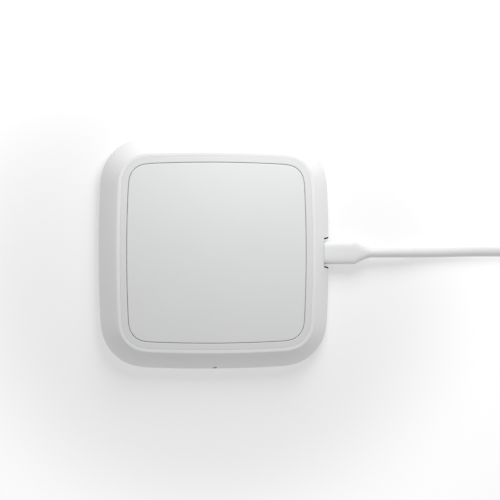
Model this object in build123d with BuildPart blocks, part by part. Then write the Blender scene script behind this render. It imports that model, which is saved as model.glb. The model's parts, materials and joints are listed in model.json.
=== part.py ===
from build123d import *
import os, math

# Square wireless charging pad with rounded corners, its USB-C lead and the
# lead's put-away coil. Millimetres, +Z up. Origin: centre of the pad's foot
# on the surface it stands on. +X: the socket side. -Y: the front.

os.makedirs("parts", exist_ok=True)

# ---------------------------------------------------------------- dimensions
half = 49.5            # half of the datum outline's width; insets are measured from it, and the skirt stands 0.35 outside it
side_r = 571.55        # slightly bowed sides
side_a = 2.8688        # degrees, half angle of the bowed side
shoulder_r = 33.445    # easing radius between side and corner
shoulder_a = 11.7855   # degrees, where the corner radius begins
top_z = 12.4           # top face above the surface it stands on
part_z = 3.4           # parting plane of the two shells
slope_in = 6.67        # plan width of the sloped skirt
band_in = 8.12         # inset of the flat band's inner edge
ring_in = 10.86        # inset of the landing ring's inner edge
plate_in = 11.08       # inset of the inner plate's edge (0.22 seam)
deck_z = 11.05         # ledge that the ring and the plate are bonded to
ledge_z = 10.0         # underside of that ledge
open_in = 16.0         # inset of the opening under the plate
foot_h = 0.8           # silicone foot below the base
groove_z = 1.2         # ceiling of the foot's groove
floor_z = 2.2          # inner floor of the base

board_z0, board_z1 = 2.5, 3.5      # main board
plug_z = 5.1                       # height of the plug's centre line
notch_x = 47.05                    # back wall of the plug notch
notch_half = 6.3                   # half width of the notch at its back wall
notch_flare = 7.55                 # half width at x = 52

wire_d = 1.1                       # transmitter coil's litz wire
coil_z = 10.45                     # its centre line
coil_pitch = 1.18
coil_r0 = 10.6

cord_d = 4.3                       # the lead's round jacket
cord_z = 2.2                       # its centre line on the floor
grip_x0, grip_x1, relief_x1 = 47.2, 60.1, 67.5   # overmold and strain relief

ring_cx = 162.5                    # axis of the put-away coil
ring_cols = [31.15, 26.85, 22.55, 18.25]         # radii of its turns
ring_cy = ring_cols[0]

# ------------------------------------------------------------------- outline
p1, p2 = math.radians(side_a), math.radians(shoulder_a)
c1 = (half - side_r, 0.0)
c2 = (c1[0] + (side_r - shoulder_r) * math.cos(p1), (side_r - shoulder_r) * math.sin(p1))
corner_r = shoulder_r + (c2[0] - c2[1]) / (math.cos(p2) - math.sin(p2))
c3 = (c2[0] + (shoulder_r - corner_r) * math.cos(p2), c2[1] + (shoulder_r - corner_r) * math.sin(p2))


def outline_arcs():
    """centre, radius and angles of the sixteen arcs, counter-clockwise"""
    arcs = []
    for k in range(4):
        t = k * math.pi / 2
        ca, sa = math.cos(t), math.sin(t)

        def turned(p):
            return (p[0] * ca - p[1] * sa, p[0] * sa + p[1] * ca)

        arcs.append((turned(c1), side_r, t - p1, t + p1))
        arcs.append((turned(c2), shoulder_r, t + p1, t + p2))
        arcs.append((turned(c3), corner_r, t + p2, t + math.pi / 2 - p2))
        arcs.append((turned((c2[1], c2[0])), shoulder_r, t + math.pi / 2 - p2, t + math.pi / 2 - p1))
    return arcs


def rounded_square(inset):
    """the pad's outline moved inwards by inset, as a face in the open sketch"""
    arcs = outline_arcs()

    def at(arc, a):
        c, r = arc[0], arc[1] - inset
        return (c[0] + r * math.cos(a), c[1] + r * math.sin(a))

    ends = [at(a, a[2]) for a in arcs]
    with BuildLine() as way_round:
        for i, a in enumerate(arcs):
            ThreePointArc(ends[i], at(a, (a[2] + a[3]) / 2), ends[(i + 1) % len(arcs)])
    make_face(way_round.edges())


def shell_solid(points):
    """a solid lofted through the outline at (inset, height) pairs"""
    with BuildPart() as solid:
        for inset, z in points:
            with BuildSketch(Plane.XY.offset(z)):
                rounded_square(inset)
        loft(ruled=True)
    return solid.part


def save(builder, name):
    builder.part.label = name
    export_step(builder.part, f"parts/{name}.step")


notch_outline = [(notch_x, -notch_half), (notch_x, notch_half), (52.0, notch_flare), (52.0, -notch_flare)]
liner_t = 0.85                     # black liner of the notch: side walls
liner_gap = 0.03

# the skirt's slope, steeper at the foot and easing towards the band
slope = [(-0.05, part_z), (-0.35, 3.75), (-0.25, 4.3), (0.70, 5.95), (1.65, 7.3), (3.02, 9.0),
         (4.5, 10.55), (5.86, 11.75), (slope_in, top_z)]

case_spots = [(36.2, 36.2), (-36.2, 36.2), (-36.2, -36.2), (36.2, -36.2)]
tray_spots = [(36.6, 16.0), (36.6, -16.0), (-36.6, 16.0), (-36.6, -16.0)]
stake_spots = [(-27.0, 23.0), (-27.0, -23.0), (40.0, 23.0), (40.0, -23.0)]

# ----------------------------------------------------------------- top shell
outer_envelope = shell_solid(slope)
cavity = shell_solid([(2.5, part_z), (2.5, 4.6), (3.6, 6.4), (5.4, 8.9), (6.6, ledge_z)])

with BuildPart() as top_shell:
    add(outer_envelope)
    # cavity under the ledge
    add(cavity, mode=Mode.SUBTRACT)
    # recess for the ring and the plate, and the opening under the plate
    with BuildSketch(Plane.XY.offset(deck_z)):
        rounded_square(band_in)
    extrude(amount=top_z - deck_z + 1, mode=Mode.SUBTRACT)
    with BuildSketch(Plane.XY.offset(ledge_z - 0.5)):
        rounded_square(open_in)
    extrude(amount=3, mode=Mode.SUBTRACT)
    # bosses for the case screws and the tray screws
    with BuildSketch(Plane.XY.offset(4.2)):
        with Locations(*case_spots):
            Circle(3.0)
    extrude(amount=ledge_z - 4.2 + 0.2)
    with BuildSketch(Plane.XY.offset(8.4)):
        with Locations(*tray_spots):
            Circle(2.5)
    extrude(amount=ledge_z - 8.4 + 0.2)
    # thick wall round the socket
    with BuildSketch(Plane.XY.offset(part_z)):
        with Locations((46.45, 0)):
            Rectangle(2.7, 17)
    extrude(amount=4.1)
    add(outer_envelope, mode=Mode.INTERSECT)
    # collar for the light pipe
    with BuildSketch(Plane.XZ.offset(43.8)):
        with Locations((0, 4.9)):
            Circle(2.2)
    extrude(amount=3.9)
    with BuildSketch(Plane.XY.offset(part_z - 3)):
        Rectangle(120, 120)
    extrude(amount=3, mode=Mode.SUBTRACT)
    # pilot holes
    with BuildSketch(Plane.XY.offset(4.2)):
        with Locations(*case_spots):
            Circle(1.25)
    extrude(amount=5.0, mode=Mode.SUBTRACT)
    with BuildSketch(Plane.XY.offset(8.4)):
        with Locations(*tray_spots):
            Circle(1.0)
    extrude(amount=2.2, mode=Mode.SUBTRACT)
    # socket slot, open at the bottom so the shell drops over the board
    with BuildSketch(Plane.YZ.offset(44.5)):
        with BuildLine():
            Polyline((-4.65, part_z), (4.65, part_z), (4.65, 5.1))
            ThreePointArc((4.65, 5.1), (4.65 - 1.75 + 1.75 * math.cos(math.pi / 4), 5.1 + 1.75 * math.sin(math.pi / 4)), (2.9, 6.85))
            Line((2.9, 6.85), (-2.9, 6.85))
            ThreePointArc((-2.9, 6.85), (-2.9 - 1.75 * math.cos(math.pi / 4), 5.1 + 1.75 * math.sin(math.pi / 4)), (-4.65, 5.1))
            Line((-4.65, 5.1), (-4.65, part_z))
        make_face()
    extrude(amount=4.0, mode=Mode.SUBTRACT)
    # plug notch
    with BuildSketch(Plane.XY.offset(1.5)):
        with BuildLine():
            Polyline(*notch_outline, close=True)
        make_face()
    extrude(amount=12, mode=Mode.SUBTRACT)
    # light pipe's bore
    with BuildSketch(Plane.XZ.offset(43.0)):
        with Locations((0, 4.9)):
            Circle(0.95)
    extrude(amount=8, mode=Mode.SUBTRACT)
save(top_shell, "top_shell")

# ------------------------------------------------------- ring, plate, adhesive
with BuildPart() as landing_ring:
    with BuildSketch(Plane.XY.offset(deck_z)):
        rounded_square(band_in)
    extrude(amount=top_z - deck_z)
    with BuildSketch(Plane.XY.offset(deck_z)):
        rounded_square(ring_in)
    extrude(amount=2, mode=Mode.SUBTRACT)
save(landing_ring, "landing_ring")

with BuildPart() as top_plate:
    with BuildSketch(Plane.XY.offset(deck_z + 0.15)):
        rounded_square(plate_in)
    extrude(amount=top_z - deck_z - 0.15)
    chamfer(top_plate.faces().sort_by(Axis.Z)[-1].edges(), 0.12)
save(top_plate, "top_plate")

with BuildPart() as plate_adhesive:
    with BuildSketch(Plane.XY.offset(deck_z)):
        rounded_square(plate_in + 0.3)
        with BuildSketch(mode=Mode.SUBTRACT):
            rounded_square(open_in - 0.2)
    extrude(amount=0.15)
save(plate_adhesive, "plate_adhesive")

# -------------------------------------------------------------- bottom shell
base_envelope = shell_solid([(5.4, foot_h), (4.7, 1.0), (1.5, 2.45), (0.65, 3.05), (0.5, part_z)])
tub = shell_solid([(4.3, floor_z), (3.75, part_z), (3.75, 6.0)])

liner_envelope = shell_solid([(2.05, 2.0), (0.8, 3.1), (0.6, part_z), (0.0, 3.85), (-0.15, 4.4), (0.78, 5.95), (1.73, 7.3), (3.1, 9.0), (4.58, 10.55)])

with BuildPart() as bottom_shell:
    add(base_envelope)
    # locating lip inside the top shell's skirt
    with BuildSketch(Plane.XY.offset(part_z - 0.4)):
        rounded_square(2.65)
    extrude(amount=1.5)
    add(tub, mode=Mode.SUBTRACT)
    # bosses for the case screws
    with BuildSketch(Plane.XY.offset(floor_z - 0.2)):
        with Locations(*case_spots):
            Circle(3.7)
    extrude(amount=4.2 - floor_z + 0.2)
    # seats and posts of the board
    with BuildSketch(Plane.XY.offset(floor_z - 0.2)):
        with Locations(*stake_spots):
            Circle(2.4)
    extrude(amount=board_z0 - floor_z + 0.2)
    with BuildSketch(Plane.XY.offset(floor_z)):
        with Locations(*stake_spots):
            Circle(0.85)
    extrude(amount=board_z1 - floor_z + 0.2)
    with BuildSketch(Plane.XY.offset(board_z1)):
        with Locations(*stake_spots):
            Circle(1.6)
    extrude(amount=0.7, taper=20)
    # wall below the socket
    with BuildSketch(Plane.XY.offset(floor_z - 0.2)):
        with Locations((46.45, 0)):
            Rectangle(2.7, 17)
    extrude(amount=part_z - floor_z + 0.2)
    # lip interrupted at the socket and at the light pipe
    with BuildSketch(Plane.XY.offset(part_z)):
        with Locations((46.4, 0)):
            Rectangle(4.4, 17.6)
        with Locations((0, -46.6)):
            Rectangle(5.0, 4.0)
    extrude(amount=3, mode=Mode.SUBTRACT)
    # groove of the foot
    with BuildSketch(Plane.XY):
        rounded_square(7.0)
        with BuildSketch(mode=Mode.SUBTRACT):
            rounded_square(15.4)
    extrude(amount=groove_z, mode=Mode.SUBTRACT)
    # counterbores and clearance holes of the case screws
    with BuildSketch(Plane.XY.offset(groove_z - 0.2)):
        with Locations(*case_spots):
            Circle(2.45)
    extrude(amount=2.8 - groove_z + 0.2, mode=Mode.SUBTRACT)
    with BuildSketch(Plane.XY.offset(2.0)):
        with Locations(*case_spots):
            Circle(1.45)
    extrude(amount=3, mode=Mode.SUBTRACT)
    # plug notch
    with BuildSketch(Plane.XY.offset(1.9)):
        with BuildLine():
            Polyline(*notch_outline, close=True)
        make_face()
    extrude(amount=6, mode=Mode.SUBTRACT)
save(bottom_shell, "bottom_shell")

# black liner of the plug notch: two cheeks joined by a strip under the plug
k = (notch_flare - notch_half) / (52.0 - notch_x)
with BuildPart() as port_liner:
    with BuildSketch(Plane.XY.offset(2.0)):
        with BuildLine():
            Polyline((notch_x + liner_gap, -notch_half + liner_gap), (notch_x + liner_gap, notch_half - liner_gap),
                     (52.0, notch_flare - liner_gap), (52.0, -notch_flare + liner_gap), close=True)
        make_face()
    extrude(amount=9.0)
    with BuildSketch(Plane.XY.offset(2.3)):
        with BuildLine():
            Polyline((notch_x - 1.0, -notch_half + liner_t), (notch_x - 1.0, notch_half - liner_t),
                     (53.0, notch_flare - liner_t + k), (53.0, -notch_flare + liner_t - k), close=True)
        make_face()
    extrude(amount=9.0, mode=Mode.SUBTRACT)
    add(liner_envelope, mode=Mode.INTERSECT)
save(port_liner, "port_liner")

with BuildPart() as foot_ring:
    with BuildSketch(Plane.XY):
        rounded_square(7.1)
        with BuildSketch(mode=Mode.SUBTRACT):
            rounded_square(15.3)
    extrude(amount=groove_z)
    chamfer(foot_ring.faces().sort_by(Axis.Z)[0].edges(), 0.2)
save(foot_ring, "foot_ring")

# -------------------------------------------------------------------- screws
with BuildPart() as case_screws:
    with BuildSketch(Plane.XY.offset(1.3)):
        with Locations(*case_spots):
            Circle(2.25)
    extrude(amount=1.5)
    with BuildSketch(Plane.XY.offset(2.8)):
        with Locations(*case_spots):
            Circle(1.2)
    extrude(amount=6.0)
    for spot in case_spots:
        for turn in (0, 90):
            with BuildSketch(Plane.XY.offset(1.3)):
                with Locations(Location((spot[0], spot[1], 0), (0, 0, turn))):
                    Rectangle(2.4, 0.5)
            extrude(amount=0.8, mode=Mode.SUBTRACT)
save(case_screws, "case_screws")

with BuildPart() as tray_screws:
    with BuildSketch(Plane.XY.offset(5.9)):
        with Locations(*tray_spots):
            Circle(1.9)
    extrude(amount=1.3)
    with BuildSketch(Plane.XY.offset(7.2)):
        with Locations(*tray_spots):
            Circle(0.95)
    extrude(amount=3.2)
    for spot in tray_spots:
        for turn in (0, 90):
            with BuildSketch(Plane.XY.offset(5.9)):
                with Locations(Location((spot[0], spot[1], 0), (0, 0, turn))):
                    Rectangle(2.0, 0.4)
            extrude(amount=0.6, mode=Mode.SUBTRACT)
save(tray_screws, "tray_screws")

# ---------------------------------------------------------------- main board
lead_pads = [(28.0, 0.0), (22.4, 25.6)]
with BuildPart() as main_board:
    with BuildSketch(Plane.XY.offset(board_z0)):
        with Locations((7.0, 0)):
            RectangleRounded(74.4, 53.6, 2.0)
        with Locations((0, -33.0)):
            Rectangle(12.0, 17.0)
        with Locations(*stake_spots):
            Circle(0.95, mode=Mode.SUBTRACT)
    extrude(amount=board_z1 - board_z0)
    fillet(main_board.edges().filter_by(Axis.Z).group_by(Axis.Y)[0], 1.5)
save(main_board, "main_board")

# -------------------------------------------------------------- USB-C socket
sock_x0, sock_x1 = 39.7, 47.0
with BuildPart() as socket_shell:
    with BuildSketch(Plane.YZ.offset(sock_x0)):
        with Locations((0, plug_z)):
            RectangleRounded(9.0, 3.2, 1.59)
    extrude(amount=sock_x1 - sock_x0)
    with BuildSketch(Plane.YZ.offset(sock_x0 + 0.3)):
        with Locations((0, plug_z)):
            RectangleRounded(8.44, 2.6, 1.29)
    extrude(amount=sock_x1 - sock_x0, mode=Mode.SUBTRACT)
    # solder feet down to the board's face
    with BuildSketch(Plane.XY.offset(board_z1)):
        with Locations((40.9, 4.3), (40.9, -4.3), (43.2, 4.3), (43.2, -4.3)):
            Rectangle(1.1, 0.5)
    extrude(amount=1.2)
    with BuildSketch(Plane.YZ.offset(sock_x0 + 0.3)):
        with Locations((0, plug_z)):
            RectangleRounded(8.44, 2.6, 1.29)
    extrude(amount=sock_x1 - sock_x0, mode=Mode.SUBTRACT)
save(socket_shell, "socket_shell")

with BuildPart() as socket_tongue:
    with BuildSketch(Plane.YZ.offset(sock_x0 + 0.3)):
        with Locations((0, plug_z)):
            RectangleRounded(8.34, 2.5, 1.24)
    extrude(amount=0.5)
    with BuildSketch(Plane.YZ.offset(sock_x0 + 0.3)):
        with Locations((0, plug_z)):
            Rectangle(6.7, 0.6)
    extrude(amount=6.0)
save(socket_tongue, "socket_tongue")

contact_y = [-2.75 + 0.5 * i for i in range(12)]
with BuildPart() as socket_contacts:
    for side in (1, -1):
        with BuildSketch(Plane.YZ.offset(sock_x0 + 0.9)):
            with Locations(*[(y, plug_z + side * 0.33) for y in contact_y]):
                Rectangle(0.24, 0.06)
        extrude(amount=5.0)
save(socket_contacts, "socket_contacts")

# ---------------------------------------------------------------- components


def chips(name, spots, size, z=board_z1, turned=False):
    """a group of identical bodies on the board, each with two end caps' gap"""
    with BuildPart() as group:
        with BuildSketch(Plane.XY.offset(z)):
            with Locations(*spots):
                Rectangle(size[1] if turned else size[0], size[0] if turned else size[1])
        extrude(amount=size[2])
        chamfer(group.faces().filter_by(Axis.Z).group_by(Axis.Z)[-1].edges(), min(size) * 0.08)
    save(group, name)


chips("controller_ic", [(4.0, 8.0)], (6.0, 6.0, 0.9))
chips("bridge_mosfets", [(17.0, 5.6), (17.0, 11.0), (11.6, 16.0), (17.0, 16.4)], (3.3, 3.3, 0.8))
chips("resonant_capacitors", [(30.5, 8.0), (30.5, 12.2), (30.5, 16.4), (25.4, 12.2), (25.4, 16.4)], (3.2, 2.5, 2.0))
chips("input_capacitors", [(34.0, -6.4), (34.0, -9.4), (34.0, -12.4)], (3.2, 1.6, 1.6))
chips("power_inductor", [(25.0, -11.0)], (4.4, 4.2, 2.1))
chips("crystal", [(-4.6, 3.0)], (3.2, 2.5, 0.7))
chips("chip_passives", [(-3.0, 8.2), (-3.0, 10.0), (-3.0, 11.8), (-3.0, 13.6), (3.0, 14.6), (5.4, 14.6),
                        (11.0, 1.6), (11.0, -0.4), (11.0, -2.4), (16.0, -4.2), (16.0, -6.2), (16.0, -8.2),
                        (0.4, -20.0), (0.4, -22.2), (36.6, 5.2), (36.6, -3.2)], (1.6, 0.8, 0.6))
chips("status_led", [(0.0, -40.4)], (3.0, 1.4, 1.3))

# ---------------------------------------------------------------- light pipe
with BuildPart() as light_pipe:
    with BuildSketch(Plane.XZ.offset(41.5)):
        with Locations((0, 4.9)):
            Circle(0.85)
    extrude(amount=9)
    with BuildSketch(Plane.XZ.offset(42.3)):
        with Locations((0, 4.9)):
            Circle(1.3)
    extrude(amount=1.5)
    add(outer_envelope, mode=Mode.INTERSECT)
save(light_pipe, "light_pipe")

# ------------------------------------------------------- transmitter winding
tray_z0, tray_z1 = 7.2, 8.4
with BuildPart() as transmitter_coil:
    n_half = 20
    with BuildLine() as spiral:
        for i in range(n_half):
            r = coil_r0 + i * coil_pitch / 2
            cx = 0 if i % 2 == 0 else coil_pitch / 2
            s = 1 if i % 2 == 0 else -1
            ThreePointArc((cx + s * r, 0, coil_z), (cx, s * r, coil_z), (cx - s * r, 0, coil_z))
    with BuildSketch(Plane(origin=(coil_r0, 0, coil_z), x_dir=(1, 0, 0), z_dir=(0, 1, 0))):
        Circle(wire_d / 2)
    sweep(path=spiral.wire())
end_x = spiral.wire().position_at(1).X
with BuildPart() as inner_lead:
    with BuildLine() as run_in:
        FilletPolyline((coil_r0, 0, coil_z), (coil_r0, 0, 9.3), (lead_pads[0][0], 0, 9.3), (lead_pads[0][0], 0, board_z1), radius=0.7)
    with BuildSketch(Plane(origin=run_in.wire().position_at(0), z_dir=run_in.wire().tangent_at(0))):
        Circle(wire_d / 2)
    sweep(path=run_in.wire())
with BuildPart() as outer_lead:
    with BuildLine() as run_out:
        FilletPolyline((end_x, 0, coil_z), (end_x, lead_pads[1][1], coil_z), (end_x, lead_pads[1][1], board_z1), radius=1.5)
    with BuildSketch(Plane(origin=run_out.wire().position_at(0), z_dir=run_out.wire().tangent_at(0))):
        Circle(wire_d / 2)
    sweep(path=run_out.wire())
with transmitter_coil:
    add(inner_lead.part)
    add(outer_lead.part)
save(transmitter_coil, "transmitter_coil")
print("winding: outer end at x", round(end_x, 2), "outside diameter", round(2 * (coil_r0 + n_half * coil_pitch / 2), 1))

with BuildPart() as ferrite_plate:
    with BuildSketch(Plane.XY.offset(8.7)):
        RectangleRounded(49.0, 49.0, 1.5)
        Circle(1.8, mode=Mode.SUBTRACT)
        with Locations((17.5, 0)):
            Rectangle(16.0, 1.6, mode=Mode.SUBTRACT)
    extrude(amount=1.2)
save(ferrite_plate, "ferrite_plate")

with BuildPart() as ferrite_tape:
    with BuildSketch(Plane.XY.offset(tray_z1)):
        RectangleRounded(48.0, 48.0, 1.5)
        Circle(2.0, mode=Mode.SUBTRACT)
        with Locations((17.5, 0)):
            Rectangle(17.0, 2.0, mode=Mode.SUBTRACT)
    extrude(amount=0.3)
save(ferrite_tape, "ferrite_tape")

with BuildPart() as coil_tray:
    with BuildSketch(Plane.XY.offset(tray_z0)):
        RectangleRounded(60.0, 60.0, 3.0)
        for x, y in tray_spots:
            with Locations((x - math.copysign(3.6, x), y)):
                Rectangle(7.2, 6.6)
            with Locations((x, y)):
                Circle(3.3)
        with Locations(*tray_spots):
            Circle(1.1, mode=Mode.SUBTRACT)
        Circle(2.0, mode=Mode.SUBTRACT)
        with Locations((lead_pads[0][0] - 0.6, 0)):
            Rectangle(3.4, 2.4, mode=Mode.SUBTRACT)
        with Locations(lead_pads[1]):
            Rectangle(2.4, 2.4, mode=Mode.SUBTRACT)
    extrude(amount=tray_z1 - tray_z0)
    # rim that locates the ferrite
    with BuildSketch(Plane.XY.offset(tray_z1)):
        RectangleRounded(52.0, 52.0, 2.5)
        RectangleRounded(49.4, 49.4, 1.7, mode=Mode.SUBTRACT)
        with Locations((25.3, 0)):
            Rectangle(6.0, 3.0, mode=Mode.SUBTRACT)
        with Locations((lead_pads[1][0], 25.4)):
            Rectangle(3.0, 3.0, mode=Mode.SUBTRACT)
    extrude(amount=1.2)
save(coil_tray, "coil_tray")

with BuildPart() as thermistor:
    with BuildSketch(Plane.XY.offset(9.95)):
        RectangleRounded(3.4, 2.4, 0.8)
    extrude(amount=1.1)
    fillet(thermistor.faces().filter_by(Axis.Z).edges(), 0.3)
    with BuildSketch(Plane.XY.offset(board_z1)):
        with Locations((-0.8, 0), (0.8, 0)):
            Circle(0.2)
    extrude(amount=10.2 - board_z1)
save(thermistor, "thermistor")

# ---------------------------------------------------------------- USB-C plug
tip_x = 40.95
with BuildPart() as plug_shell:
    with BuildSketch(Plane.YZ.offset(tip_x)):
        with Locations((0, plug_z)):
            RectangleRounded(8.25, 2.4, 1.19)
    extrude(amount=50.6 - tip_x)
    with BuildSketch(Plane.YZ.offset(tip_x)):
        with Locations((0, plug_z)):
            RectangleRounded(7.65, 1.8, 0.89)
    extrude(amount=50.6 - tip_x, mode=Mode.SUBTRACT)
save(plug_shell, "plug_shell")

with BuildPart() as plug_insert:
    with BuildSketch(Plane.YZ.offset(tip_x + 0.1)):
        with Locations((0, plug_z)):
            RectangleRounded(7.65, 1.8, 0.89)
    extrude(amount=50.6 - tip_x - 0.1)
    with BuildSketch(Plane.YZ.offset(tip_x)):
        with Locations((0, plug_z)):
            Rectangle(6.9, 0.98)
    extrude(amount=5.95, mode=Mode.SUBTRACT)
save(plug_insert, "plug_insert")

with BuildPart() as plug_contacts:
    for side in (1, -1):
        with BuildSketch(Plane.YZ.offset(tip_x + 0.7)):
            with Locations(*[(y, plug_z + side * 0.445) for y in contact_y]):
                Rectangle(0.24, 0.09)
        extrude(amount=4.6)
save(plug_contacts, "plug_contacts")

# grip: flat oblong section, then a taper that eases into the cable
with BuildPart() as plug_overmold:
    with BuildSketch(Plane.YZ.offset(grip_x0)):
        with Locations((0, plug_z)):
            RectangleRounded(10.0, 5.4, 2.1)
    extrude(amount=grip_x1 - grip_x0)
    for x, w, h in ((grip_x1, 10.0, 5.4), (61.3, 9.3, 5.3), (62.9, 7.9, 5.2), (65.1, 6.1, 4.95), (relief_x1, 4.8, 4.7)):
        with BuildSketch(Plane.YZ.offset(x)):
            with Locations((0, plug_z)):
                RectangleRounded(w, h, min(2.1, h * 0.46, w * 0.46))
    loft(ruled=True)
    fillet(plug_overmold.faces().sort_by(Axis.X)[0].edges(), 0.35)
    with BuildSketch(Plane.YZ.offset(grip_x0 - 1)):
        with Locations((0, plug_z)):
            RectangleRounded(8.25, 2.4, 1.19)
    extrude(amount=50.6 - grip_x0 + 1, mode=Mode.SUBTRACT)
save(plug_overmold, "plug_overmold")

# ------------------------------------------------------------------ the cord


def corner_radii(points):
    """0.45 of the shorter run over the tangent of half the turn, per corner"""
    radii = []
    for a, b, c in zip(points, points[1:], points[2:]):
        u, v = Vector(*b) - Vector(*a), Vector(*c) - Vector(*b)
        turn = u.get_angle(v)
        r = 0.45 * min(u.length, v.length) / math.tan(math.radians(turn) / 2)
        print("   run %.1f turn %.1f radius %.1f" % (u.length, turn, r))
        radii.append(r)
    return radii


def cord_tube(points, name, radii):
    with BuildPart() as tube:
        with BuildLine() as way:
            FilletPolyline(*points, radius=radii)
        with BuildSketch(Plane(origin=way.wire().position_at(0), z_dir=way.wire().tangent_at(0))):
            Circle(cord_d / 2)
        sweep(path=way.wire())
    length = way.wire().length
    print(name, "length %.1f" % length, "volume ratio %.4f" % (tube.part.volume / (length * math.pi * cord_d ** 2 / 4)))
    save(tube, name)
    return length


stub_x = 144.0
lead_points = [(relief_x1, 0, plug_z), (79.5, 0, plug_z), (95.0, 0, cord_z), (119.5, 0.5, cord_z), (stub_x, 0, cord_z)]
lead_length = cord_tube(lead_points, "cord_lead", corner_radii(lead_points))

# the coil's last turn lets go at -78 degrees on the upper layer, crosses the
# turns below it and comes down beside them to the USB-A plug
top_r = 26.06          # radius of that last turn where it lets go
tail_z = cord_z + cord_d + 0.06
leave_a = math.radians(-78.0)
usb_a_x, usb_a_y, usb_a_z = 198.4, 43.2, 3.9       # back end of the USB-A plug's strain relief
tail_route = [(ring_cx + top_r * math.cos(leave_a), ring_cy + top_r * math.sin(leave_a), tail_z),
              (177.7, 7.74, tail_z), (186.8, 12.9, tail_z), (194.3, 20.6, 7.0),
              (198.4, 31.8, 4.0), (usb_a_x, usb_a_y, usb_a_z)]
tail_radii = corner_radii(tail_route)
split = tuple(p + (q - p) * 0.5 for p, q in zip(tail_route[2], tail_route[3]))
stub_route = tail_route[:3] + [split]
tail_length = cord_tube([split] + tail_route[3:], "cord_tail", tail_radii[2:])

# outer shape of the coil: four turns side by side below, three above
hw = cord_d / 2
tie_a = 100.0          # degrees, where the tie holds the coil
with BuildPart() as cord_coil:
    axis_c = Axis((ring_cx, ring_cy, 0), (0, 0, 1))
    z0 = cord_z - hw
    with BuildSketch(Plane(origin=(ring_cx, ring_cy, 0), x_dir=(1, 0, 0), z_dir=(0, -1, 0))) as section:
        with BuildLine():
            Polyline((ring_cols[3] - hw + 1.2, z0), (ring_cols[0] + hw - 1.2, z0), (ring_cols[0] + hw, z0 + 1.2),
                     (ring_cols[0] + hw, z0 + cord_d - 1.2), (ring_cols[0] + hw - 1.2, z0 + cord_d),
                     (ring_cols[1] + hw - 0.8, z0 + cord_d), (ring_cols[1] + hw - 0.8, z0 + 2 * cord_d - 1.2),
                     (ring_cols[1] + hw - 2.0, z0 + 2 * cord_d), (ring_cols[3] - hw + 1.2, z0 + 2 * cord_d),
                     (ring_cols[3] - hw, z0 + 2 * cord_d - 1.2), (ring_cols[3] - hw, z0 + 1.2), close=True)
        make_face()
    revolve(axis=axis_c)
    with BuildSketch(Plane.YZ.offset(stub_x)):
        with Locations((0, cord_z)):
            Circle(hw)
    extrude(amount=ring_cx - stub_x)
    with BuildLine() as crossing:
        FilletPolyline(*stub_route, radius=tail_radii[:2])
    with BuildSketch(Plane(origin=stub_route[0], z_dir=crossing.wire().tangent_at(0))):
        Circle(hw)
    sweep(path=crossing.wire())
    # the tie passes under the turns, which rise over it
    with BuildSketch(Plane(origin=(ring_cx, ring_cy, 0), x_dir=(math.cos(math.radians(tie_a)), math.sin(math.radians(tie_a)), 0),
                           z_dir=(math.sin(math.radians(tie_a)), -math.cos(math.radians(tie_a)), 0))):
        with Locations((ring_cols[1] - 2, 0.4)):
            Rectangle(22, 0.8)
    extrude(amount=4.6, both=True, mode=Mode.SUBTRACT)
save(cord_coil, "cord_coil")

# strap round the coil's section, closed on itself, six millimetres wide
with BuildPart() as cable_tie:
    t = 0.7
    zt = z0 + 2 * cord_d
    with BuildSketch(Plane(origin=(ring_cx, ring_cy, 0), x_dir=(math.cos(math.radians(tie_a)), math.sin(math.radians(tie_a)), 0),
                           z_dir=(math.sin(math.radians(tie_a)), -math.cos(math.radians(tie_a)), 0))):
        with BuildLine():
            a0, a1, a2 = ring_cols[3] - hw - 0.5, ring_cols[1] + hw + 0.4, ring_cols[0] + hw + 0.3
            Polyline((a0 - t, 0.02), (a2 + t, 0.02), (a2 + t, z0 + cord_d + 0.9 + t), (a1 + t, zt + 0.9 + t), (a0 - t, zt + 0.9 + t), close=True)
        make_face()
        with BuildLine():
            Polyline((a0, 0.72), (a2, 0.72), (a2, z0 + cord_d + 0.9), (a1, zt + 0.9), (a0, zt + 0.9), close=True)
        make_face(mode=Mode.SUBTRACT)
    extrude(amount=3.0, both=True)
save(cable_tie, "cable_tie")

# ---------------------------------------------------------------- USB-A plug
ua = usb_a_y
uz = usb_a_z
with BuildPart() as usb_a_overmold:
    for dy, w, h in ((0.0, 4.9, 4.9), (9.0, 6.2, 5.6)):
        with BuildSketch(Plane(origin=(usb_a_x, ua + dy, uz), x_dir=(1, 0, 0), z_dir=(0, 1, 0))):
            RectangleRounded(w, h, min(w, h) * 0.46)
    loft(ruled=True)
    for dy, w, h, r in ((9.0, 11.0, 6.6, 2.4), (11.0, 14.6, 7.4, 2.6), (13.0, 15.6, 7.6, 2.6), (29.0, 15.6, 7.6, 2.6)):
        with BuildSketch(Plane(origin=(usb_a_x, ua + dy, uz), x_dir=(1, 0, 0), z_dir=(0, 1, 0))):
            RectangleRounded(w, h, r)
    loft(ruled=True)
    with BuildSketch(Plane(origin=(usb_a_x, ua + 23.0, uz), x_dir=(1, 0, 0), z_dir=(0, 1, 0))):
        RectangleRounded(12.0, 4.5, 0.5)
    extrude(amount=8, mode=Mode.SUBTRACT)
save(usb_a_overmold, "usb_a_overmold")

with BuildPart() as usb_a_shell:
    with BuildSketch(Plane(origin=(usb_a_x, ua + 23.0, uz), x_dir=(1, 0, 0), z_dir=(0, 1, 0))):
        RectangleRounded(12.0, 4.5, 0.5)
        RectangleRounded(11.4, 3.9, 0.3, mode=Mode.SUBTRACT)
    extrude(amount=18.7)
    with BuildSketch(Plane.XY.offset(uz)):
        with Locations((usb_a_x - 2.5, ua + 36.0), (usb_a_x + 2.5, ua + 36.0)):
            Rectangle(2.4, 2.0)
    extrude(amount=5, both=True, mode=Mode.SUBTRACT)
save(usb_a_shell, "usb_a_shell")

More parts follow.
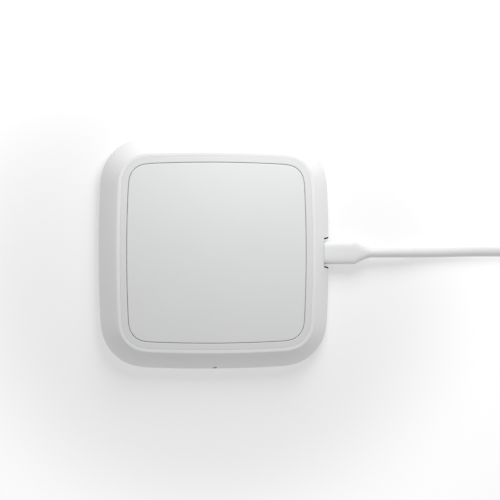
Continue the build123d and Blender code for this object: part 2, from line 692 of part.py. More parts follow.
with BuildPart() as usb_a_insert:
    with BuildSketch(Plane(origin=(usb_a_x, ua + 23.0, uz), x_dir=(1, 0, 0), z_dir=(0, 1, 0))):
        RectangleRounded(11.3, 3.8, 0.4)
    extrude(amount=8)
    with BuildSketch(Plane(origin=(usb_a_x, ua + 23.0, uz + 1.0), x_dir=(1, 0, 0), z_dir=(0, 1, 0))):
        Rectangle(11.3, 1.8)
    extrude(amount=18.2)
save(usb_a_insert, "usb_a_insert")

with BuildPart() as usb_a_contacts:
    with BuildSketch(Plane.XY.offset(uz - 0.02)):
        with Locations((usb_a_x - 3.5, ua + 36.0), (usb_a_x + 3.5, ua + 36.0)):
            Rectangle(1.0, 9.0)
        with Locations((usb_a_x - 1.0, ua + 35.6), (usb_a_x + 1.0, ua + 35.6)):
            Rectangle(1.0, 8.2)
    extrude(amount=0.12)
save(usb_a_contacts, "usb_a_contacts")

turns_up = 660.0 / 360.0
coil_length = 2 * math.pi * (3 * (ring_cols[0] + ring_cols[3]) / 2 + 0.2 * ring_cols[3] + turns_up * (ring_cols[3] + top_r) / 2)
total = lead_length + (ring_cx - stub_x) + coil_length + 27 + tail_length
print("cord: lead %.0f coil %.0f tail %.0f total %.0f" % (lead_length, coil_length, tail_length, total))
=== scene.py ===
import bpy, bmesh, json, math
import numpy as np
from mathutils import Vector, Matrix


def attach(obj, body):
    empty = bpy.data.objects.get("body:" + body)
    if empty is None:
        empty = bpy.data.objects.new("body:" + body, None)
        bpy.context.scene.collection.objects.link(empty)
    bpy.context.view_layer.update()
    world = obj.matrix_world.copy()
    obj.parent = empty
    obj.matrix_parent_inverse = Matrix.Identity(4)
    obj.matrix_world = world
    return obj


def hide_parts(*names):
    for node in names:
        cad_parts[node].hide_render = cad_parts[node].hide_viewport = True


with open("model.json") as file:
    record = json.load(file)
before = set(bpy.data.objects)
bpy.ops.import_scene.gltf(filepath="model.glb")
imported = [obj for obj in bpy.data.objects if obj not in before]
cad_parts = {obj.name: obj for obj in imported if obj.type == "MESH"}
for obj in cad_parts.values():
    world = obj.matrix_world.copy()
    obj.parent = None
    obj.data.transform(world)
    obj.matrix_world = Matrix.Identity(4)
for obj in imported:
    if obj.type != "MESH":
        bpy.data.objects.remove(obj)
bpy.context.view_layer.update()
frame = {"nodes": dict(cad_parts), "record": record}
MM = 0.001
scene = bpy.context.scene

# ------------------------------------------------------------------ camera
aim = Vector((0.0148, 0.00117, 0.008))
tilt_x, tilt_y, far = math.radians(-8.18), math.radians(0.09), 0.800
away = Vector((math.sin(tilt_x) * math.cos(tilt_y), math.sin(tilt_y), math.cos(tilt_x) * math.cos(tilt_y)))
right = Vector((0, 1, 0)).cross(away).normalized()
up = away.cross(right)
cam_data = bpy.data.cameras.new("camera")
cam = bpy.data.objects.new("camera", cam_data)
scene.collection.objects.link(cam)
cam.matrix_world = Matrix((
    (right.x, up.x, away.x, aim.x + far * away.x),
    (right.y, up.y, away.y, aim.y + far * away.y),
    (right.z, up.z, away.z, aim.z + far * away.z),
    (0, 0, 0, 1)))
cam_data.sensor_width = 36.0
cam_data.lens = 1864.5 * 36.0 / 500.0
cam_data.clip_start = 0.01
cam_data.clip_end = 20.0
scene.camera = cam
scene.view_settings.view_transform = "Standard"
scene.view_settings.look = "None"

# --------------------------------------------------------------- materials


def node_mat(name):
    m = bpy.data.materials.new(name)
    m.use_nodes = True
    nt = m.node_tree
    b = nt.nodes["Principled BSDF"]
    return m, nt, b


def coords(nt, scale=(1, 1, 1), rot=(0, 0, 0)):
    tc = nt.nodes.new("ShaderNodeTexCoord")
    mp = nt.nodes.new("ShaderNodeMapping")
    mp.inputs["Scale"].default_value = scale
    mp.inputs["Rotation"].default_value = rot
    nt.links.new(tc.outputs["Object"], mp.inputs["Vector"])
    return mp.outputs["Vector"]


def noise(nt, vec, scale, detail=3.0, rough=0.55):
    n = nt.nodes.new("ShaderNodeTexNoise")
    n.inputs["Scale"].default_value = scale
    n.inputs["Detail"].default_value = detail
    n.inputs["Roughness"].default_value = rough
    nt.links.new(vec, n.inputs["Vector"])
    return n.outputs["Fac"]


def ramp(nt, fac, stops):
    r = nt.nodes.new("ShaderNodeValToRGB")
    e = r.color_ramp.elements
    e[0].position, e[0].color = stops[0][0], (*stops[0][1], 1)
    e[1].position, e[1].color = stops[-1][0], (*stops[-1][1], 1)
    for pos, col in stops[1:-1]:
        x = e.new(pos)
        x.color = (*col, 1)
    nt.links.new(fac, r.inputs["Fac"])
    return r.outputs["Color"]


def span(nt, fac, lo, hi):
    r = nt.nodes.new("ShaderNodeMapRange")
    r.inputs["From Min"].default_value = 0.3
    r.inputs["From Max"].default_value = 0.7
    r.inputs["To Min"].default_value = lo
    r.inputs["To Max"].default_value = hi
    nt.links.new(fac, r.inputs["Value"])
    return r.outputs["Result"]


def bump(nt, b, height, strength, dist):
    n = nt.nodes.new("ShaderNodeBump")
    n.inputs["Strength"].default_value = strength
    n.inputs["Distance"].default_value = dist
    nt.links.new(height, n.inputs["Height"])
    nt.links.new(n.outputs["Normal"], b.inputs["Normal"])
    return n


def shade(c, k):
    return tuple(min(1.0, x * k) for x in c)


def plastic(name, colour, rough, grain=5200.0, depth=0.000012, strength=0.35, var=0.012, coat=0.0, spec=0.5, sss=0.0):
    """moulded plastic: fine spark-eroded grain, faint flow mottling, uneven gloss"""
    m, nt, b = node_mat(name)
    v = coords(nt)
    flow = noise(nt, v, 38.0, 4.0, 0.5)
    col = ramp(nt, flow, [(0.3, shade(colour, 1 - var)), (0.7, shade(colour, 1 + var * 0.5))])
    nt.links.new(col, b.inputs["Base Color"])
    fine = noise(nt, v, grain, 2.0, 0.6)
    nt.links.new(span(nt, noise(nt, v, 260.0, 3.0), rough - 0.035, rough + 0.035), b.inputs["Roughness"])
    bump(nt, b, fine, strength, depth)
    b.inputs["Specular IOR Level"].default_value = spec
    b.inputs["Coat Weight"].default_value = coat
    b.inputs["Coat Roughness"].default_value = 0.25
    if sss:
        b.inputs["Subsurface Weight"].default_value = sss
        b.inputs["Subsurface Radius"].default_value = (1.0, 0.95, 0.9)
        b.inputs["Subsurface Scale"].default_value = 0.0006
    return m


def metal(name, colour, rough, stretch=(60, 3000, 3000)):
    m, nt, b = node_mat(name)
    v = coords(nt, stretch)
    lines = noise(nt, v, 1.0, 4.0, 0.6)
    nt.links.new(ramp(nt, lines, [(0.3, shade(colour, 0.93)), (0.7, shade(colour, 1.04))]), b.inputs["Base Color"])
    nt.links.new(span(nt, lines, rough - 0.06, rough + 0.08), b.inputs["Roughness"])
    b.inputs["Metallic"].default_value = 1.0
    bump(nt, b, lines, 0.15, 0.000008)
    return m


WHITE = (0.855, 0.857, 0.86)
M = {}
M["shell"] = plastic("shell", (0.885, 0.887, 0.89), 0.40, grain=4200, depth=0.00001, strength=0.25, sss=0.0, coat=0.05)
M["soft_ring"] = plastic("soft_ring", (0.80, 0.803, 0.808), 0.62, grain=6500, depth=0.00002, strength=0.5)
M["plate"] = plastic("plate", (0.82, 0.823, 0.828), 0.50, grain=5200, depth=0.000016, strength=0.45)
M["base"] = plastic("base", (0.80, 0.802, 0.806), 0.55, grain=3800, depth=0.00002, strength=0.5)
M["foot"] = plastic("foot", (0.42, 0.425, 0.43), 0.72, grain=2400, depth=0.00003, strength=0.5, var=0.04)
M["overmold"] = plastic("overmold", (0.865, 0.867, 0.87), 0.45, grain=4800, depth=0.00001, strength=0.3, coat=0.04)
M["white_plastic"] = plastic("white_plastic", (0.82, 0.82, 0.82), 0.45)
M["black_plastic"] = plastic("black_plastic", (0.022, 0.022, 0.024), 0.5, grain=2600, depth=0.00003, strength=0.5, var=0.1)
M["chip"] = plastic("chip", (0.028, 0.028, 0.03), 0.6, grain=3600, depth=0.00002, strength=0.6, var=0.12)
M["ceramic"] = plastic("ceramic", (0.50, 0.36, 0.22), 0.45, grain=2500, depth=0.00001, strength=0.3, var=0.08)
M["bead"] = plastic("bead", (0.05, 0.035, 0.025), 0.25, grain=900, depth=0.00003, strength=0.3, var=0.15)
M["tape"] = plastic("tape", (0.74, 0.71, 0.60), 0.6, grain=900, depth=0.00003, strength=0.4, var=0.05)
M["ferrite"] = plastic("ferrite", (0.055, 0.055, 0.06), 0.68, grain=1500, depth=0.00006, strength=0.8, var=0.2)
M["led"] = plastic("led", (0.85, 0.78, 0.35), 0.3, grain=1800, var=0.05)
M["steel"] = metal("steel", (0.55, 0.55, 0.56), 0.34)
M["plated_steel"] = metal("plated_steel", (0.72, 0.72, 0.735), 0.2, (80, 2600, 2600))
M["gold"] = metal("gold", (0.86, 0.64, 0.28), 0.24, (2600, 90, 2600))


def jacket_mat():
    """extruded jacket: satin, with faint mottling and dimples"""
    m, nt, b = node_mat("jacket")
    v = coords(nt)
    col = ramp(nt, noise(nt, v, 60.0, 3.0), [(0.3, (0.845, 0.847, 0.85)), (0.7, (0.87, 0.872, 0.875))])
    nt.links.new(col, b.inputs["Base Color"])
    nt.links.new(span(nt, noise(nt, v, 400.0, 3.0), 0.42, 0.5), b.inputs["Roughness"])
    bump(nt, b, noise(nt, v, 2200.0, 2.0), 0.3, 0.00002)
    return m


def board_mat():
    """green solder mask over copper tracks, with ground-plane patches and vias"""
    m, nt, b = node_mat("board")
    v = coords(nt)
    br = nt.nodes.new("ShaderNodeTexBrick")
    br.inputs["Scale"].default_value = 170.0
    br.inputs["Mortar Size"].default_value = 0.06
    br.inputs["Color1"].default_value = (0.006, 0.085, 0.035, 1)
    br.inputs["Color2"].default_value = (0.008, 0.11, 0.045, 1)
    br.inputs["Mortar"].default_value = (0.02, 0.21, 0.08, 1)
    nt.links.new(v, br.inputs["Vector"])
    vo = nt.nodes.new("ShaderNodeTexVoronoi")
    vo.inputs["Scale"].default_value = 330.0
    nt.links.new(v, vo.inputs["Vector"])
    spot = nt.nodes.new("ShaderNodeMath")
    spot.operation = "LESS_THAN"
    spot.inputs[1].default_value = 0.13
    nt.links.new(vo.outputs["Distance"], spot.inputs[0])
    mx = nt.nodes.new("ShaderNodeMix")
    mx.data_type = "RGBA"
    mx.inputs["B"].default_value = (0.55, 0.42, 0.2, 1)
    nt.links.new(spot.outputs[0], mx.inputs["Factor"])
    nt.links.new(br.outputs["Color"], mx.inputs["A"])
    nt.links.new(mx.outputs["Result"], b.inputs["Base Color"])
    b.inputs["Roughness"].default_value = 0.38
    bump(nt, b, br.outputs["Fac"], 0.3, 0.00003)
    return m


def copper_mat():
    """stranded, enamelled wire: diagonal strand lines round the winding"""
    m, nt, b = node_mat("copper")
    v = coords(nt)
    w = nt.nodes.new("ShaderNodeTexWave")
    w.bands_direction = "DIAGONAL"
    w.inputs["Scale"].default_value = 1400.0
    w.inputs["Distortion"].default_value = 1.5
    nt.links.new(v, w.inputs["Vector"])
    nt.links.new(ramp(nt, w.outputs["Fac"], [(0.2, (0.30, 0.10, 0.04)), (0.8, (0.72, 0.32, 0.14))]), b.inputs["Base Color"])
    b.inputs["Metallic"].default_value = 0.85
    b.inputs["Roughness"].default_value = 0.36
    bump(nt, b, w.outputs["Fac"], 0.6, 0.00006)
    return m


def clear_mat():
    m, nt, b = node_mat("clear")
    v = coords(nt)
    nt.links.new(ramp(nt, noise(nt, v, 300.0), [(0.3, (0.86, 0.88, 0.9)), (0.7, (0.92, 0.94, 0.95))]), b.inputs["Base Color"])
    b.inputs["Roughness"].default_value = 0.22
    b.inputs["Transmission Weight"].default_value = 0.6
    b.inputs["IOR"].default_value = 1.49
    bump(nt, b, noise(nt, v, 1800.0), 0.2, 0.00001)
    return m


def strap_mat():
    """hook-and-loop strap: short pile over a woven ground"""
    m, nt, b = node_mat("tie")
    v = coords(nt)
    pile = noise(nt, v, 3200.0, 5.0, 0.75)
    w1 = nt.nodes.new("ShaderNodeTexWave")
    w1.inputs["Scale"].default_value = 620.0
    w1.inputs["Distortion"].default_value = 3.0
    nt.links.new(v, w1.inputs["Vector"])
    nt.links.new(ramp(nt, pile, [(0.35, (0.50, 0.50, 0.51)), (0.7, (0.78, 0.78, 0.79))]), b.inputs["Base Color"])
    b.inputs["Roughness"].default_value = 0.9
    b.inputs["Sheen Weight"].default_value = 0.4
    b.inputs["Sheen Roughness"].default_value = 0.5
    add = nt.nodes.new("ShaderNodeMath")
    add.operation = "ADD"
    nt.links.new(pile, add.inputs[0])
    nt.links.new(w1.outputs["Fac"], add.inputs[1])
    bump(nt, b, add.outputs[0], 0.8, 0.00012)
    return m


M["jacket"] = jacket_mat()
M["board"] = board_mat()
M["copper"] = copper_mat()
M["clear"] = clear_mat()
M["tie"] = strap_mat()

# black plastic liner on the port notch's side walls, made darker than the black plastic (near-black, little specular):
# partly real black plastic, partly painted shade standing in for the shadow gap inside the notch
M["liner"] = plastic("liner", (0.006, 0.006, 0.006), 0.75, grain=2600, depth=0.00002, strength=0.4, var=0.1, spec=0.12)

slots = {s["node"]: s["material_slot"] for s in frame["record"]["subparts"]}
for name, ob in frame["nodes"].items():
    me = ob.data
    # the port liner gets the near-black material that carries the notch's painted shade
    mat = M["liner" if name == "port_liner" else slots[name]]
    if len(me.materials) == 0:
        me.materials.append(mat)
    for i in range(len(me.materials)):
        me.materials[i] = mat

# ------------------------------------------------------------- mesh helpers


def make_object(name, verts, faces, mat, sharp=35.0):
    me = bpy.data.meshes.new(name)
    me.from_pydata([tuple(v) for v in verts], [], faces)
    me.validate()
    bm = bmesh.new()
    bm.from_mesh(me)
    bmesh.ops.recalc_face_normals(bm, faces=bm.faces)
    bm.to_mesh(me)
    bm.free()
    me.shade_smooth()
    me.set_sharp_from_angle(angle=math.radians(sharp))
    ob = bpy.data.objects.new(name, me)
    scene.collection.objects.link(ob)
    me.materials.append(mat)
    return ob


def grid_faces(rows, cols, close_rows=False):
    """quads of a grid whose columns go round and close on themselves"""
    out = []
    for i in range(rows if close_rows else rows - 1):
        a, b = i * cols, ((i + 1) % rows) * cols
        for j in range(cols):
            k = (j + 1) % cols
            out.append((a + j, a + k, b + k, b + j))
    return out


def smooth_line(pts, times=3):
    """corner cutting that keeps the two ends"""
    for _ in range(times):
        new = [pts[0]]
        for a, b in zip(pts, pts[1:]):
            new.append((a[0] * 0.75 + b[0] * 0.25, a[1] * 0.75 + b[1] * 0.25))
            new.append((a[0] * 0.25 + b[0] * 0.75, a[1] * 0.25 + b[1] * 0.75))
        new.append(pts[-1])
        pts = new
    return pts


def rounded_line(pts, radii, n=5):
    """closed polygon with each corner rounded to its radius"""
    out = []
    m = len(pts)
    for i in range(m):
        p, a, b = Vector(pts[i]), Vector(pts[i - 1]), Vector(pts[(i + 1) % m])
        r = radii[i]
        if r <= 0:
            out.append(tuple(p))
            continue
        u, v = (a - p).normalized(), (b - p).normalized()
        half = u.angle(v) / 2
        t = min(r / math.tan(half), 0.49 * (a - p).length, 0.49 * (b - p).length)
        rr = t * math.tan(half)
        c = p + (u + v).normalized() * (rr / math.sin(half))
        s, e = p + u * t - c, p + v * t - c
        ang = math.atan2(s.x * e.y - s.y * e.x, s.x * e.x + s.y * e.y)
        for k in range(n + 1):
            w = ang * k / n
            ca, sa = math.cos(w), math.sin(w)
            out.append((c.x + s.x * ca - s.y * sa, c.y + s.x * sa + s.y * ca))
    return out


# the pad's outline: bowed sides, shoulders and corners, as in the CAD
half, side_r, shoulder_r = 49.5, 571.55, 33.445
p1, p2 = math.radians(2.8688), math.radians(11.7855)
c1 = (half - side_r, 0.0)
c2 = (c1[0] + (side_r - shoulder_r) * math.cos(p1), (side_r - shoulder_r) * math.sin(p1))
corner_r = shoulder_r + (c2[0] - c2[1]) / (math.cos(p2) - math.sin(p2))
c3 = (c2[0] + (shoulder_r - corner_r) * math.cos(p2), c2[1] + (shoulder_r - corner_r) * math.sin(p2))


def outline_samples(ns=22, nh=5, nc=30):
    """(centre, radius, angle) round the pad, counter-clockwise from the -Y end of the +X side"""
    out = []
    for k in range(4):
        t = k * math.pi / 2
        ca, sa = math.cos(t), math.sin(t)

        def turned(p):
            return (p[0] * ca - p[1] * sa, p[0] * sa + p[1] * ca)

        for c, r, a0, a1, n in ((c1, side_r, -p1, p1, ns), (c2, shoulder_r, p1, p2, nh),
                                (c3, corner_r, p2, math.pi / 2 - p2, nc),
                                ((c2[1], c2[0]), shoulder_r, math.pi / 2 - p2, math.pi / 2 - p1, nh)):
            for i in range(n):
                out.append((turned(c), r, t + a0 + (a1 - a0) * i / n))
    return out


SAMPLES = outline_samples()


def swept_section(name, section, mat, sharp=35.0):
    """a closed ring: the section, (inset, height) in mm, carried round the pad's outline"""
    verts = []
    for inset, z in section:
        for c, r, a in SAMPLES:
            verts.append(((c[0] + (r - inset) * math.cos(a)) * MM, (c[1] + (r - inset) * math.sin(a)) * MM, z * MM))
    return make_object(name, verts, grid_faces(len(section), len(SAMPLES), True), mat, sharp)


def capped_section(name, line, mat, sharp=35.0, rings=6):
    """a plate: the edge line, (inset, height), from the underside's edge to the top's, both faces filled with inset rings"""
    n = len(SAMPLES)
    inner = [(line[0][0] + (15.0 - line[0][0]) * k / rings, line[0][1]) for k in range(rings, 0, -1)]
    outer = [(line[-1][0] + (15.0 - line[-1][0]) * k / rings, line[-1][1]) for k in range(1, rings + 1)]
    full = inner + list(line) + outer
    verts = []
    for inset, z in full:
        for c, r, a in SAMPLES:
            verts.append(((c[0] + (r - inset) * math.cos(a)) * MM, (c[1] + (r - inset) * math.sin(a)) * MM, z * MM))
    faces = grid_faces(len(full), n, False)
    faces.append(tuple(range(n))[::-1])
    faces.append(tuple((len(full) - 1) * n + j for j in range(n)))
    return make_object(name, verts, faces, mat, sharp)


def prism(name, outline, z0, z1):
    """a closed upright prism from a plan outline in mm"""
    n = len(outline)
    verts = [(x * MM, y * MM, z0 * MM) for x, y in outline] + [(x * MM, y * MM, z1 * MM) for x, y in outline]
    faces = [tuple(range(n))[::-1], tuple(range(n, 2 * n))]
    faces += [(i, (i + 1) % n, n + (i + 1) % n, n + i) for i in range(n)]
    return make_object(name, verts, faces, M["shell"])


def combine(target, tools):
    """booleans on target in order, applied to its mesh; the tools are removed"""
    for tool, op in tools:
        md = target.modifiers.new("cut", "BOOLEAN")
        md.operation = op
        md.solver = "EXACT"
        md.object = tool
    bpy.context.view_layer.update()
    dg = bpy.context.evaluated_depsgraph_get()
    new = bpy.data.meshes.new_from_object(target.evaluated_get(dg))
    target.modifiers.clear()
    target.data = new
    for tool, op in tools:
        bpy.data.objects.remove(tool)
    return target


# -------------------------------------------------------------------- cords
cord_d, cord_z = 4.3, 2.2
pitch = 4.36
ring_c = (162.5, 31.15)
lead_route = [(67.5, 0, 5.1), (79.5, 0, 5.1), (95.0, 0, cord_z), (119.5, 0.5, cord_z), (144.0, 0, cord_z)]
route = list(lead_route)
step = 20.0
k_out = 1.0 / math.cos(math.radians(step / 2))
tie_a = 100.0


def lift(theta):
    """the turns rise over the tie"""
    d = (theta - tie_a + 180.0) % 360.0 - 180.0
    return 0.72 * math.exp(-(d / 15.0) ** 2)


theta = -90.0 + step / 2
r0, r_in = 31.15, 31.15 - 3 * pitch
while theta < -90.0 + 1080.0:
    r = r0 - pitch * (theta + 90.0) / 360.0
    route.append((ring_c[0] + k_out * r * math.cos(math.radians(theta)), ring_c[1] + k_out * r * math.sin(math.radians(theta)), cord_z + lift(theta)))
    theta += step
while theta < 1062.0:
    s = (theta - 990.0) / 72.0
    s = s * s * (3 - 2 * s)
    route.append((ring_c[0] + k_out * r_in * math.cos(math.radians(theta)), ring_c[1] + k_out * r_in * math.sin(math.radians(theta)), cord_z + 4.36 * s))
    theta += step
while theta < 1722.0 - step / 2:
    r = r_in + pitch * (theta - 1062.0) / 360.0
    route.append((ring_c[0] + k_out * r * math.cos(math.radians(theta)), ring_c[1] + k_out * r * math.sin(math.radians(theta)), cord_z + 4.36 + lift(theta)))
    theta += step
route += [(177.7, 7.74, 6.62), (186.8, 12.9, 6.62), (194.3, 20.6, 7.0), (198.4, 31.8, 4.0), (198.4, 43.2, 3.9)]

curve = bpy.data.curves.new("cord", "CURVE")
curve.dimensions = "3D"
spline = curve.splines.new("NURBS")
spline.points.add(len(route) - 1)
for p, q in zip(spline.points, route):
    p.co = (q[0] * MM, q[1] * MM, q[2] * MM, 1.0)
spline.order_u = 3
spline.use_endpoint_u = True
spline.resolution_u = 8
curve.bevel_depth = cord_d / 2 * MM
curve.bevel_resolution = 6
curve.use_fill_caps = True
curve.materials.append(M["jacket"])
cord = bpy.data.objects.new("cord", curve)
scene.collection.objects.link(cord)
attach(cord, "cable")
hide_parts("cord_lead", "cord_coil", "cord_tail")

# ---------------------------------------------------------------- top shell
slope = smooth_line([(-0.05, 3.4), (-0.35, 3.72), (-0.27, 4.3), (0.65, 5.95), (1.6, 7.35), (2.97, 9.05), (4.45, 10.6), (5.86, 11.82), (6.55, 12.30)], 3)
section = slope + [(6.62, 12.36), (6.72, 12.395), (6.86, 12.4), (7.4, 12.4), (8.0, 12.4), (8.07, 12.39), (8.11, 12.36), (8.12, 12.3), (8.12, 11.6), (8.12, 11.05),
                   (12.0, 11.05), (16.0, 11.05), (16.0, 10.0), (11.0, 10.0), (6.6, 10.0), (5.4, 8.9), (3.6, 6.4), (2.5, 4.6), (2.5, 3.4)]
top = swept_section("top_shell_skin", section, M["shell"], 30.0)
block = prism("t_block", [(45.1, -8.5), (47.4, -8.5), (47.4, 8.5), (45.1, 8.5)], 3.41, 7.5)
flare = [(47.05, -6.3), (52.0, -7.55), (52.0, 7.55), (47.05, 6.3)]
notch = prism("t_notch", flare, 1.5, 14.0)
slot_line = [(-4.65, 3.0), (4.65, 3.0)] + [(2.9 + 1.75 * math.cos(a), 5.1 + 1.75 * math.sin(a)) for a in [math.radians(9 * i) for i in range(11)]] \
    + [(-2.9 - 1.75 * math.sin(a), 5.1 + 1.75 * math.cos(a)) for a in [math.radians(9 * i) for i in range(11)]]
n = len(slot_line)
slot_obj = make_object("t_slot", [(44.0 * MM, y * MM, z * MM) for y, z in slot_line] + [(49.0 * MM, y * MM, z * MM) for y, z in slot_line],
                       [tuple(range(n))[::-1], tuple(range(n, 2 * n))] + [(i, (i + 1) % n, n + (i + 1) % n, n + i) for i in range(n)], M["shell"])
bore_line = [(0.95 * math.cos(2 * math.pi * i / 24), 4.9 + 0.95 * math.sin(2 * math.pi * i / 24)) for i in range(24)]
n = 24
bore = make_object("t_bore", [(x * MM, -44.0 * MM, z * MM) for x, z in bore_line] + [(x * MM, -51.0 * MM, z * MM) for x, z in bore_line],
                   [tuple(range(n))[::-1], tuple(range(n, 2 * n))] + [(i, (i + 1) % n, n + (i + 1) % n, n + i) for i in range(n)], M["shell"])


def circle_line(cx, cy, r, m=32):
    return [(cx + r * math.cos(2 * math.pi * i / m), cy + r * math.sin(2 * math.pi * i / m)) for i in range(m)]


tools = [(block, "UNION"), (notch, "DIFFERENCE"), (slot_obj, "DIFFERENCE"), (bore, "DIFFERENCE")]
for sx in (1, -1):
    for sy in (1, -1):
        tools.append((prism("t_boss", circle_line(36.2 * sx, 36.2 * sy, 3.0), 4.2, 10.3), "UNION"))
        tools.append((prism("t_pilot", circle_line(36.2 * sx, 36.2 * sy, 1.25), 4.0, 9.2), "DIFFERENCE"))
        tools.append((prism("t_boss", circle_line(36.6 * sx, 16.0 * sy, 2.5), 8.4, 10.3), "UNION"))
        tools.append((prism("t_pilot", circle_line(36.6 * sx, 16.0 * sy, 1.0), 8.2, 10.6), "DIFFERENCE"))
combine(top, tools)
top.data.shade_smooth()
top.data.set_sharp_from_angle(angle=math.radians(30))
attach(top, "pad")
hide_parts("top_shell")

# ------------------------------------------------------ ring and inner plate
ring_section = [(8.13, 11.06), (8.13, 12.28), (8.15, 12.35), (8.2, 12.388), (8.28, 12.4), (8.6, 12.4), (9.5, 12.4), (10.4, 12.4),
                (10.64, 12.395), (10.76, 12.36), (10.83, 12.29), (10.86, 12.18), (10.86, 11.06), (9.5, 11.06)]
ring = swept_section("landing_ring_skin", ring_section, M["soft_ring"], 35.0)
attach(ring, "pad")
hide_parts("landing_ring")

plate_line = [(11.12, 11.2), (11.08, 11.24), (11.08, 12.2), (11.11, 12.3), (11.18, 12.37), (11.28, 12.395), (11.5, 12.4)]
plate = capped_section("top_plate_skin", plate_line, M["plate"], 35.0)
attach(plate, "pad")
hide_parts("top_plate")

# ------------------------------------------------------------- plug overmold


def super_section(w, h, e, m=72):
    """points of a superellipse section, (across, up)"""
    out = []
    for i in range(m):
        a = 2 * math.pi * i / m
        ca, sa = math.cos(a), math.sin(a)
        out.append((w / 2 * math.copysign(abs(ca) ** (2 / e), ca), h / 2 * math.copysign(abs(sa) ** (2 / e), sa)))
    return out


def lofted(name, stations, mat, place, m=72, sharp=40.0):
    """a closed body through (along, width, height, exponent) stations; place turns (along, across, up) into mm"""
    verts, n = [], m
    for s, w, h, e in stations:
        for u, v in super_section(w, h, e, m):
            verts.append(tuple(x * MM for x in place(s, u, v)))
    faces = grid_faces(len(stations), n, False)
    faces.append(tuple(range(n))[::-1])
    faces.append(tuple((len(stations) - 1) * n + j for j in range(n)))
    return make_object(name, verts, faces, mat, sharp)


def eased(a, b, n, power=1.0):
    out = []
    for i in range(1, n + 1):
        t = (i / n) ** power
        out.append(tuple(x + (y - x) * t for x, y in zip(a, b)))
    return out


def curve_through(keys, per=6):
    """Catmull-Rom through key stations"""
    out = []
    for i in range(len(keys) - 1):
        a = keys[max(i - 1, 0)]
        b, c = keys[i], keys[i + 1]
        d = keys[min(i + 2, len(keys) - 1)]
        for k in range(per):
            t = k / per
            out.append(tuple(0.5 * (2 * q + (r - p) * t + (2 * p - 5 * q + 4 * r - s) * t * t + (3 * q - p - 3 * r + s) * t ** 3)
                             for p, q, r, s in zip(a, b, c, d)))
    out.append(keys[-1])
    return out


front = [(47.20, 9.20, 4.60, 3.4), (47.22, 9.45, 4.85, 3.4), (47.30, 9.70, 5.10, 3.4), (47.42, 9.87, 5.27, 3.4), (47.60, 9.97, 5.37, 3.4), (47.85, 10.0, 5.4, 3.4)]
body = curve_through([(47.85, 10.0, 5.4, 3.4), (54.0, 10.0, 5.4, 3.4), (59.6, 10.0, 5.4, 3.4), (60.5, 9.94, 5.38, 3.3), (61.2, 9.62, 5.34, 3.1),
                      (62.0, 8.95, 5.28, 2.9), (62.9, 8.0, 5.18, 2.7), (64.0, 6.95, 5.04, 2.5), (65.1, 6.12, 4.9, 2.3), (66.3, 5.35, 4.74, 2.1), (67.2, 4.86, 4.62, 2.0)], 5)
end = [(67.38, 4.78, 4.58, 2.0), (67.46, 4.66, 4.5, 2.0), (67.5, 4.45, 4.4, 2.0)]
plug = lofted("plug_overmold_skin", front + body[1:] + end, M["overmold"], lambda s, u, v: (s, u, 5.1 + v), 80)
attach(plug, "cable")
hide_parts("plug_overmold")

# ---------------------------------------------------------------- USB-A plug
ua, uz, ux = 43.2, 3.9, 198.4
keys = [(0.0, 4.5, 4.5, 2.0), (0.25, 4.9, 4.9, 2.0), (3.0, 5.2, 5.1, 2.1), (6.5, 5.8, 5.45, 2.3), (8.6, 6.6, 5.8, 2.6), (9.6, 8.6, 6.2, 3.0), (10.6, 11.6, 6.8, 3.6),
        (11.8, 14.0, 7.3, 4.2), (13.2, 15.3, 7.55, 4.6), (15.0, 15.6, 7.6, 4.8), (22.0, 15.6, 7.6, 4.8), (28.2, 15.6, 7.6, 4.8)]
ua_st = curve_through(keys, 5) + [(28.6, 15.52, 7.52, 4.8), (28.85, 15.3, 7.3, 4.8), (28.97, 15.0, 7.0, 4.8), (29.0, 14.5, 6.6, 4.8)]
ua_body = lofted("usb_a_overmold_skin", ua_st, M["overmold"], lambda s, u, v: (ux - u, ua + s, uz + v), 80)
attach(ua_body, "cable")
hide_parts("usb_a_overmold")

# ---------------------------------------------------------------------- tie
zt = 0.05 + 2 * 4.36 + 0.75
a0, a1, a2 = 17.1, 26.3, 31.3
loop = [(a0, 0.62), (a2, 0.62), (a2, 5.35), (a1, zt + 0.1), (a0, zt + 0.1)]
t = 0.6


def strap_loop(off):
    pts = [(a0 - off, 0.62 - off), (a2 + off, 0.62 - off), (a2 + off, 5.35 + off * 0.6), (a1 + off * 0.5, zt + 0.1 + off), (a0 - off, zt + 0.1 + off)]
    return rounded_line(pts, [2.0 + off, 2.0 + off, 1.6 + off, 1.8 + off, 2.0 + off], 6)


inner_l, outer_l = strap_loop(0.0), strap_loop(t)
ct, st = math.cos(math.radians(tie_a)), math.sin(math.radians(tie_a))


def at_tie(r, s, z):
    """(radius, along the turn, height) to the row frame, mm"""
    return (ring_c[0] + r * ct - s * st, ring_c[1] + r * st + s * ct, z)


verts, w = [], 3.0
rows = [(inner_l, -w + 0.15), (outer_l, -w), (outer_l, -w * 0.5), (outer_l, 0.0), (outer_l, w * 0.5), (outer_l, w), (inner_l, w - 0.15), (inner_l, 0.0)]
for line, s in rows:
    for r, z in line:
        verts.append(tuple(x * MM for x in at_tie(r, s, max(z, 0.02))))
tie = make_object("cable_tie_strap", verts, grid_faces(len(rows), len(inner_l), True), M["tie"], 50.0)
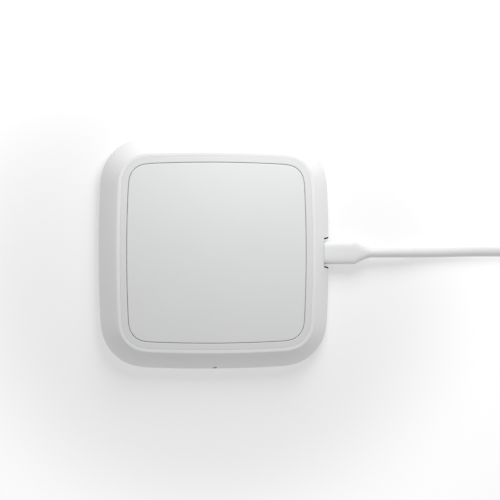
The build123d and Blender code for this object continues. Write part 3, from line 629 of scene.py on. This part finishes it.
# the loose end, pressed down on the strap's top
tab = []
tab_rows = 14
for i in range(tab_rows + 1):
    f = i / tab_rows
    r = a0 + 1.4 + f * 10.5
    z = zt + 0.1 + t + 0.05 + (0.35 * max(0.0, f - 0.8) / 0.2)
    wid = (w - 0.2) * (1.0 if f < 0.86 else math.sqrt(max(0.0, 1 - ((f - 0.86) / 0.14) ** 2 * 0.75)))
    for s, dz in ((-wid, 0.0), (wid, 0.0), (wid, 0.55), (-wid, 0.55)):
        tab.append(tuple(x * MM for x in at_tie(r, s, z + dz)))
faces = grid_faces(tab_rows + 1, 4, False) + [(3, 2, 1, 0), tuple(4 * tab_rows + j for j in range(4))]
tab_ob = make_object("cable_tie_tab", tab, faces, M["tie"], 50.0)
for ob in (tie, tab_ob):
    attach(ob, "cable")
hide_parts("cable_tie")

# ---------------------------------------------------------------- the stage
floor_me = bpy.data.meshes.new("floor")
floor_me.from_pydata([(-3, -3, -0.0001), (3, -3, -0.0001), (3, 3, -0.0001), (-3, 3, -0.0001)], [], [(0, 1, 2, 3)])
floor = bpy.data.objects.new("floor", floor_me)
scene.collection.objects.link(floor)
fm, nt, b = node_mat("floor")
b.inputs["Base Color"].default_value = (0.69, 0.69, 0.69, 1)
b.inputs["Roughness"].default_value = 0.9
b.inputs["Specular IOR Level"].default_value = 0.1
b.inputs["Emission Color"].default_value = (1, 1, 1, 1)
tc = nt.nodes.new("ShaderNodeTexCoord")
dist = nt.nodes.new("ShaderNodeVectorMath")
dist.operation = "LENGTH"
nt.links.new(tc.outputs["Object"], dist.inputs[0])
glow = nt.nodes.new("ShaderNodeMapRange")
glow.interpolation_type = "SMOOTHERSTEP"
glow.inputs["From Min"].default_value = 0.06
glow.inputs["From Max"].default_value = 0.15
glow.inputs["To Min"].default_value = 0.34
glow.inputs["To Max"].default_value = 0.57
nt.links.new(dist.outputs["Value"], glow.inputs["Value"])
nt.links.new(glow.outputs["Result"], b.inputs["Emission Strength"])
floor_me.materials.append(fm)

world = bpy.data.worlds.new("world")
world.use_nodes = True
scene.world = world
bg = world.node_tree.nodes["Background"]
bg.inputs["Color"].default_value = (1, 1, 1, 1)
bg.inputs["Strength"].default_value = 0.445


def area_light(name, pos, target, size, size_y, power, colour=(1, 1, 1)):
    d = bpy.data.lights.new(name, "AREA")
    d.shape = "RECTANGLE"
    d.size, d.size_y = size, size_y
    d.energy = power
    d.color = colour
    o = bpy.data.objects.new(name, d)
    scene.collection.objects.link(o)
    o.location = pos
    o.visible_camera = False
    o.rotation_euler = (Vector(target) - Vector(pos)).to_track_quat("-Z", "Y").to_euler()
    return o


area_light("key", (0.0389, 0.1561, 0.1500), (0.0, 0.0, 0.0), 0.132, 0.132, 0.30)

bpy.context.view_layer.update()
